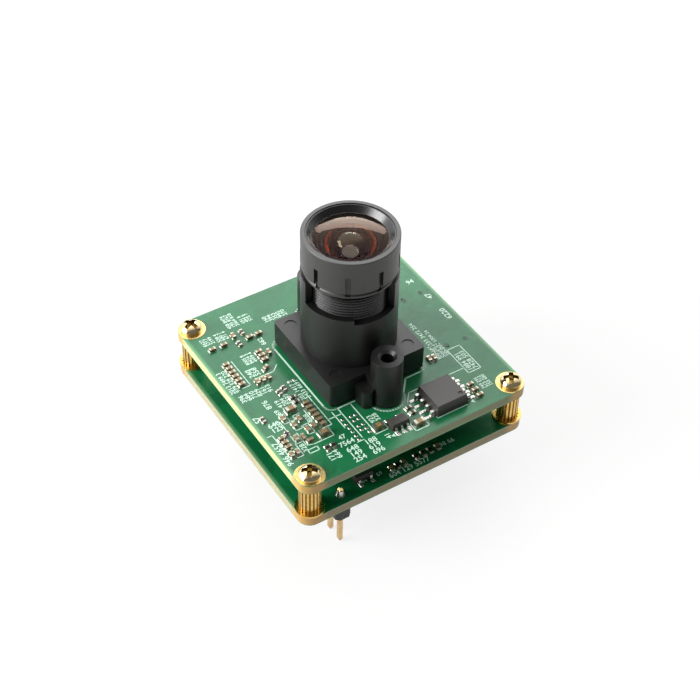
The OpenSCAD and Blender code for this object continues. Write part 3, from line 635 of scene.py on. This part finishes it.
class Piece:
    """What every operator of this add-on shares."""
    bl_options = {"REGISTER", "UNDO"}
    finishes = {}

    def finish_for(self, name):
        """One of the part's finishes; they are made once."""
        if not Piece.finishes:
            Piece.finishes.update(make_finishes())
        return Piece.finishes[name]

    def dress(self, node, name):
        """Give a CAD node one of the finishes."""
        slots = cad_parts[node].material_slots
        if not slots:
            raise RuntimeError(f"{node} has no material slot to dress")
        for slot in slots:
            slot.material = self.finish_for(name)

    def mark_faces(self, piece, name, chosen):
        """Give the faces that pass a test, told in millimetres, another of the finishes."""
        piece.data.materials.append(self.finish_for(name))
        marked = [face for face in piece.data.polygons if chosen(face.center / MM, face.normal)]
        if not marked:
            raise RuntimeError(f"{piece.name} has no face for {name}")
        for face in marked:
            face.material_index = len(piece.data.materials) - 1

    def smooth_stand_in(self, node, body, name, slot, angle=32, round_mm=0.0):
        """A smooth shaded copy of a CAD node that stands for it."""
        bm = merged_copy(node)
        shade_curves(bm, angle)
        piece = keep_piece(node + "_smooth", bm, body, self.finish_for(name), (node,))
        if round_mm:
            soften(piece, round_mm)
        return piece


class OBJECT_OT_dress_boards(Piece, bpy.types.Operator):
    """Lacquer both boards and plate their corner rings"""
    bl_idname = "object.dress_boards"
    bl_label = "Boards"

    def execute(self, context):
        self.dress("upper_board", "upper_mask")
        self.dress("lower_board", "lower_mask")
        self.dress("upper_board_pads", "gold_pad")
        self.dress("lower_board_pads", "gold_pad")
        return {"FINISHED"}


class OBJECT_OT_print_boards(Piece, bpy.types.Operator):
    """Print outlines, pin marks and plain numbers on both boards"""
    bl_idname = "object.print_boards"
    bl_label = "Print"

    def execute(self, context):
        looks = context.scene.board_looks
        ink, tree, shader = new_finish("screen_print_ink", INK, Roughness=0.4)
        # Thin screen-printed ink: the green shows through in specks about 0.15 mm wide
        specks = remap(tree, lumps(tree, 0.15, 2.0), 0.55, 0.75, 0.0, 0.3)
        tree.links.new(blend(tree, specks, tuple(looks.print_color), linear("#7DBB94")),
                       shader.inputs["Base Color"])
        thick = looks.print_height / MM
        pick = random.Random(looks.number_seed)
        bm = bmesh.new()
        for width, points in OUTLINES:
            add_stroke(bm, points, BOARD_TOP, width, thick)
        for (x, y), angle in ARROWS:
            tip = add_disc(bm, (x, y), BOARD_TOP, ARROW_R, thick, segments=3)
            turn = Matrix.Rotation(math.radians(angle), 3, "Z")
            bmesh.ops.rotate(bm, cent=(x, y, 0), matrix=turn, verts=tip)
        for block in NUMBERS:
            fill_numbers(bm, block, BOARD_TOP, pick)
        keep_piece("upper_print", bm, "housing", ink)
        bm = bmesh.new()
        for block in LOWER_NUMBERS:
            fill_numbers(bm, block, LOWER_TOP, pick)
        keep_piece("lower_print", bm, "housing", ink)
        return {"FINISHED"}


class OBJECT_OT_solder(Piece, bpy.types.Operator):
    """Add the bare tinned pads, the solder round each small part and dark discs of painted shade at the open
    holes
    """
    bl_idname = "object.solder_boards"
    bl_label = "Solder"

    def execute(self, context):
        spread = context.scene.board_looks.solder_spread / MM
        bm = bmesh.new()
        for (x, y), (wide, deep) in BARE_PADS:
            made = add_block(bm, (x - wide / 2, y - deep / 2, BOARD_TOP - SINK),
                             (x + wide / 2, y + deep / 2, BOARD_TOP + PAD_RISE), PAD_LEAN)
            corners = {line for v in made for line in v.link_edges
                       if abs(line.verts[0].co.z - line.verts[1].co.z) > PAD_RISE / 2}
            bmesh.ops.bevel(bm, geom=list(corners), offset=PAD_ROUND, segments=3, profile=0.5,
                            affect="EDGES", material=-1)
        keep_piece("bare_pads", bm, "housing", self.finish_for("lead_tin"))
        bm = bmesh.new()
        for low, high in loose_boxes("flash_chip_leads") + loose_boxes("regulator_leads"):
            runs_along_x = high[0] - low[0] > high[1] - low[1]
            reach = (LEAD_REACH_ALONG, LEAD_REACH) if runs_along_x else (LEAD_REACH, LEAD_REACH_ALONG)
            add_solder(bm, low, high, reach, LEAD_RISE, LEAD_LEAN)
        keep_piece("lead_solder", bm, "housing", self.finish_for("lead_tin"))
        bm = bmesh.new()
        for node in ("capacitor_ends", "resistor_ends"):
            for low, high in loose_boxes(node):
                add_solder(bm, low, high, (spread, spread), END_RISE, spread * END_LEAN_SHARE)
        keep_piece("part_solder", bm, "housing", self.finish_for("tin"))
        bm = bmesh.new()
        # Each open hole is a dark disc: painted shade where the hole's inside lies dark
        for at in OPEN_HOLES:
            add_disc(bm, at, BOARD_TOP - SINK / 2, OPEN_HOLE_R, OPEN_HOLE_RISE + SINK / 2)
        dark, tree, shader = new_finish("open_hole_shade", "#0B1D12", Roughness=0.5)
        tree.links.new(blend(tree, remap(tree, lumps(tree, 0.3), 0.4, 0.6), linear("#0B1D12"),
                             linear("#17442A")), shader.inputs["Base Color"])
        keep_piece("open_hole_shade_discs", bm, "housing", dark)
        return {"FINISHED"}


class OBJECT_OT_dress_parts(Piece, bpy.types.Operator):
    """Finish the chips, the small parts and the connectors"""
    bl_idname = "object.dress_parts"
    bl_label = "Circuit parts"

    def execute(self, context):
        for node, name in (("flash_chip_leads", "lead_tin"), ("regulator_leads", "lead_tin"),
                           ("capacitor_ends", "tin"), ("resistor_ends", "tin"),
                           ("capacitor_bodies", "capacitor_ceramic"),
                           ("resistor_bodies", "resistor_ceramic"), ("link_plug", "connector_black"),
                           ("link_socket", "connector_black"), ("link_contacts", "gold_pad"),
                           ("main_chip", "chip_black"), ("clock_crystal", "tin"),
                           ("header_strips", "connector_black"), ("header_pins", "gilt_pin"),
                           ("header_solder", "lead_tin"), ("sensor_package", "package_ceramic"),
                           ("sensor_die", "silicon"), ("sensor_cover_glass", "filter_glass"),
                           ("infrared_filter", "filter_glass"), ("regulator_chips", "chip_black")):
            self.dress(node, name)
        self.smooth_stand_in("flash_chip", "housing", "chip_black", "chip_black", round_mm=CHIP_ROUND)
        return {"FINISHED"}


class OBJECT_OT_hardware(Piece, bpy.types.Operator):
    """Finish the screws and the fluted standoffs"""
    bl_idname = "object.dress_hardware"
    bl_label = "Screws and standoffs"

    @staticmethod
    def from_hole(at):
        """Distance from the nearest corner hole's axis, in millimetres."""
        return math.hypot(abs(at.x) - HALF + HOLE_INSET, abs(at.y) - HALF + HOLE_INSET)

    def in_recess(self, at, up):
        """True for a wall of a screw's recess, and for its floor, which looks up from below the dome."""
        wall, floor = abs(up.z) < 0.5, up.z > 0.3 and at.z < BOARD_TOP + RECESS_TOP
        return at.z > BOARD_TOP + RECESS_LOW and self.from_hole(at) < RECESS_R and (wall or floor)

    def in_flute(self, at, up):
        """True for a standing face at the depth of a standoff's flutes."""
        return abs(up.z) < 0.1 and FLUTE_R[0] < self.from_hole(at) < FLUTE_R[1]

    def execute(self, context):
        screws = self.smooth_stand_in("board_screws", "housing", "gilt_steel", "gilt_steel",
                                      round_mm=SCREW_ROUND)
        # The recess's faces get the darker zinc: painted shade inside the recess
        self.mark_faces(screws, "recess_painted_shade_zinc", self.in_recess)
        posts = self.smooth_stand_in("standoffs", "housing", "brass", "brass", angle=40)
        # The flutes' faces get the darker brass: painted shade in the grooves
        self.mark_faces(posts, "flute_shade_brass", self.in_flute)
        self.dress("holder_screws", "steel")
        return {"FINISHED"}


class OBJECT_OT_holder(Piece, bpy.types.Operator):
    """Finish the moulded lens holder"""
    bl_idname = "object.dress_holder"
    bl_label = "Lens holder"

    def execute(self, context):
        width = context.scene.lens_looks.edge_round / MM
        self.smooth_stand_in("lens_holder", "housing", "holder_black", "holder_black", round_mm=width)
        return {"FINISHED"}


class OBJECT_OT_lens_tube(Piece, bpy.types.Operator):
    """Turn the lens tube down to the thread's root and cut the thread"""
    bl_idname = "object.make_lens_tube"
    bl_label = "Lens tube and thread"

    def execute(self, context):
        looks = context.scene.lens_looks
        pitch, depth = looks.thread_pitch / MM, looks.thread_depth / MM
        bm = merged_copy("lens_barrel")
        shank = [v for v in bm.verts if SHANK_R[0] < v.co.xy.length < SHANK_R[1]]
        if not shank:
            raise RuntimeError("the lens tube has no shank to thread")
        crest = max(v.co.xy.length for v in shank)
        root = crest - depth
        shank = [v for v in shank if v.co.xy.length > crest - THREAD_SINK]
        bmesh.ops.scale(bm, vec=(root / crest, root / crest, 1), verts=shank)
        top = max(v.co.z for v in shank)
        shade_curves(bm)
        keep_piece("lens_tube_body", bm, "lens_tube", self.finish_for("anodised_black"),
                   ("lens_barrel",))
        # One tooth, swept round and up
        low = LENS_LOW + THREAD_LEAD_IN
        turns = int((top - THREAD_RUN_OUT - low) / pitch)
        steps = 96
        bm = bmesh.new()
        tooth = [bm.verts.new((radius - THREAD_SINK, 0, low + pitch * share)) for radius, share in
                 zip((root, crest, crest, root), (0, *CREST_SHARES, 1))]
        geom = tooth + [bm.edges.new(pair) for pair in zip(tooth, tooth[1:])]
        bmesh.ops.spin(bm, geom=geom, cent=(0, 0, 0), axis=(0, 0, 1), dvec=(0, 0, pitch / steps),
                       angle=2 * math.pi * turns, steps=steps * turns, use_merge=False)
        bmesh.ops.remove_doubles(bm, verts=bm.verts, dist=0.001)
        bmesh.ops.recalc_face_normals(bm, faces=bm.faces)
        middle = Vector((0, 0, low + pitch))
        if sum(f.normal.dot(f.calc_center_median() - middle) * f.calc_area() for f in bm.faces) < 0:
            bmesh.ops.reverse_faces(bm, faces=bm.faces)
        shade_curves(bm, 20)
        keep_piece("lens_thread", bm, "lens_tube", self.finish_for("thread_black"))
        for node in ("front_retaining_ring", "lens_spacer", "aperture_stop", "rear_retaining_ring"):
            self.smooth_stand_in(node, "lens_tube", "thread_black", "anodised_black")
        return {"FINISHED"}


class OBJECT_OT_glass(Piece, bpy.types.Operator):
    """Polish the three lens elements"""
    bl_idname = "object.polish_glass"
    bl_label = "Lens glass"

    def execute(self, context):
        for node in ("front_element", "middle_element", "rear_element"):
            piece = self.smooth_stand_in(node, "lens_glass", "lens_glass", "lens_glass", angle=20)
            if node == "front_element":
                # The front glass's bevel is ground; its edge and seat are lacquered, and the edge's lacquer
                # is coloured copper as a painted sheen
                self.mark_faces(piece, "ground_glass",
                                lambda at, up: up.z > 0.999 and at.z < GLASS_TOP - 0.3)
                self.mark_faces(piece, "edge_lacquer",
                                lambda at, up: abs(up.z) < 0.01 and at.xy.length > GLASS_R - 0.3)
                self.mark_faces(piece, "seat_lacquer", lambda at, up: up.z < -0.999)
        return {"FINISHED"}


class OBJECT_OT_stage(Piece, bpy.types.Operator):
    """Set the floor, the lamps, the room and the camera"""
    bl_idname = "object.set_stage"
    bl_label = "Stage"

    def execute(self, context):
        looks, scene = context.scene.stage_looks, context.scene
        # Matt white paper; its tooth is about 2 mm. The camera and mirrors see it partly burnt out, as white
        # paper beside a well-lit dark object is, but its shadow stays
        paper, tree, shader = new_finish("matt_paper", PAPER, Roughness=0.9)
        tree.links.new(blend(tree, lumps(tree, 2.0), tuple(looks.floor_color), linear("#F1F1F0")),
                       shader.inputs["Base Color"])
        seen = add_node(tree, "ShaderNodeLightPath")
        glow = add_node(tree, "ShaderNodeEmission", {"Strength": 1.0})
        mirror = add_node(tree, "ShaderNodeMath", {0: seen.outputs["Is Glossy Ray"], 1: MIRRORED_PAPER},
                          operation="MULTIPLY")
        white = add_node(tree, "ShaderNodeMath", {0: seen.outputs["Is Camera Ray"], 1: looks.paper_white},
                         operation="MULTIPLY")
        share = add_node(tree, "ShaderNodeMath", {0: mirror.outputs[0], 1: white.outputs[0]},
                         operation="MAXIMUM")
        both = add_node(tree, "ShaderNodeMixShader", {0: share.outputs[0], 1: shader.outputs[0],
                                                      2: glow.outputs[0]})
        tree.links.new(both.outputs[0], tree.nodes["Material Output"].inputs["Surface"])
        bm = bmesh.new()
        bmesh.ops.create_grid(bm, x_segments=1, y_segments=1, size=4.0)
        mesh = bpy.data.meshes.new("floor")
        bm.to_mesh(mesh)
        bm.free()
        floor = bpy.data.objects.new("floor", mesh)
        mesh.materials.append(paper)
        scene.collection.objects.link(floor)
        # A wide window-like panel low behind the part, and a strong soft lamp on its left
        for name, place, size, power in (
                ("panel", (0.33, 0.50, 0.26), (0.5, 0.27), looks.panel_power),
                ("key", (-0.62, 0.18, 0.32), (0.5, 0.35), looks.key_power)):
            lamp = bpy.data.lights.new(name, "AREA")
            lamp.energy, lamp.shape, (lamp.size, lamp.size_y) = power, "RECTANGLE", size
            light = bpy.data.objects.new(name, lamp)
            light.location = place
            light.rotation_mode = "QUATERNION"
            light.rotation_quaternion = light.location.to_track_quat("Z", "Y")
            scene.collection.objects.link(light)
        # The room: bright behind and above, dim on the near side; white to the camera
        room = bpy.data.worlds.new("room")
        room.use_nodes = True
        tree = room.node_tree
        back = tree.nodes["Background"]
        back.inputs["Color"].default_value = (1, 1, 1, 1)
        way = add_node(tree, "ShaderNodeTexCoord")
        facing = add_node(tree, "ShaderNodeVectorMath", {0: way.outputs["Generated"], 1: BRIGHT_WAY},
                          operation="DOT_PRODUCT")
        level = remap(tree, facing.outputs["Value"], -0.1, 0.5, looks.near_level, looks.far_level)
        seen = add_node(tree, "ShaderNodeLightPath")
        gloss = remap(tree, seen.outputs["Is Glossy Ray"], 0, 1, 1.0, looks.mirror_boost)
        lit = add_node(tree, "ShaderNodeMath", {0: level, 1: gloss}, operation="MULTIPLY")
        strength = add_node(tree, "ShaderNodeMix", data_type="FLOAT")
        tree.links.new(seen.outputs["Is Camera Ray"], strength.inputs[0])
        tree.links.new(lit.outputs[0], strength.inputs[2])
        strength.inputs[3].default_value = 1.0
        tree.links.new(strength.outputs[0], back.inputs["Strength"])
        scene.world = room
        lens = bpy.data.cameras.new("camera")
        lens.lens, lens.sensor_width = CAMERA_LENS, CAMERA_SENSOR
        lens.clip_start, lens.clip_end = 0.01, 20
        camera = bpy.data.objects.new("camera", lens)
        camera.location = CAMERA_AT
        aim = Vector(CAMERA_AIM) - camera.location
        camera.rotation_mode = "QUATERNION"
        roll = Matrix.Rotation(math.radians(CAMERA_ROLL), 3, "Z").to_quaternion()
        camera.rotation_quaternion = aim.to_track_quat("-Z", "Y") @ roll
        scene.collection.objects.link(camera)
        scene.camera = camera
        scene.view_settings.view_transform = "Standard"
        return {"FINISHED"}


class VIEW3D_PT_board_camera(bpy.types.Panel):
    """The settings and steps of the board camera's looks"""
    bl_idname = "VIEW3D_PT_board_camera"
    bl_label = "Board camera"
    bl_space_type = "VIEW_3D"
    bl_region_type = "UI"
    bl_category = "Board camera"

    def draw(self, context):
        for title, group in (("Boards", context.scene.board_looks), ("Lens", context.scene.lens_looks),
                             ("Stage", context.scene.stage_looks)):
            box = self.layout.box()
            box.label(text=title)
            for name in group.__annotations__:
                box.prop(group, name)
        for step in STEPS:
            self.layout.operator(step.bl_idname)


STEPS = (OBJECT_OT_dress_boards, OBJECT_OT_print_boards, OBJECT_OT_solder, OBJECT_OT_dress_parts,
         OBJECT_OT_hardware, OBJECT_OT_holder, OBJECT_OT_lens_tube, OBJECT_OT_glass, OBJECT_OT_stage)
CLASSES = (BoardLooks, LensLooks, StageLooks) + STEPS + (VIEW3D_PT_board_camera,)
GROUPS = {"board_looks": BoardLooks, "lens_looks": LensLooks, "stage_looks": StageLooks}


def register():
    for part in CLASSES:
        bpy.utils.register_class(part)
    for name, group in GROUPS.items():
        setattr(bpy.types.Scene, name, PointerProperty(type=group))


def unregister():
    for name in GROUPS:
        delattr(bpy.types.Scene, name)
    for part in reversed(CLASSES):
        bpy.utils.unregister_class(part)


def main():
    register()
    for step in STEPS:
        family, name = step.bl_idname.split(".")
        getattr(getattr(bpy.ops, family), name)()


if __name__ == "__main__":
    main()
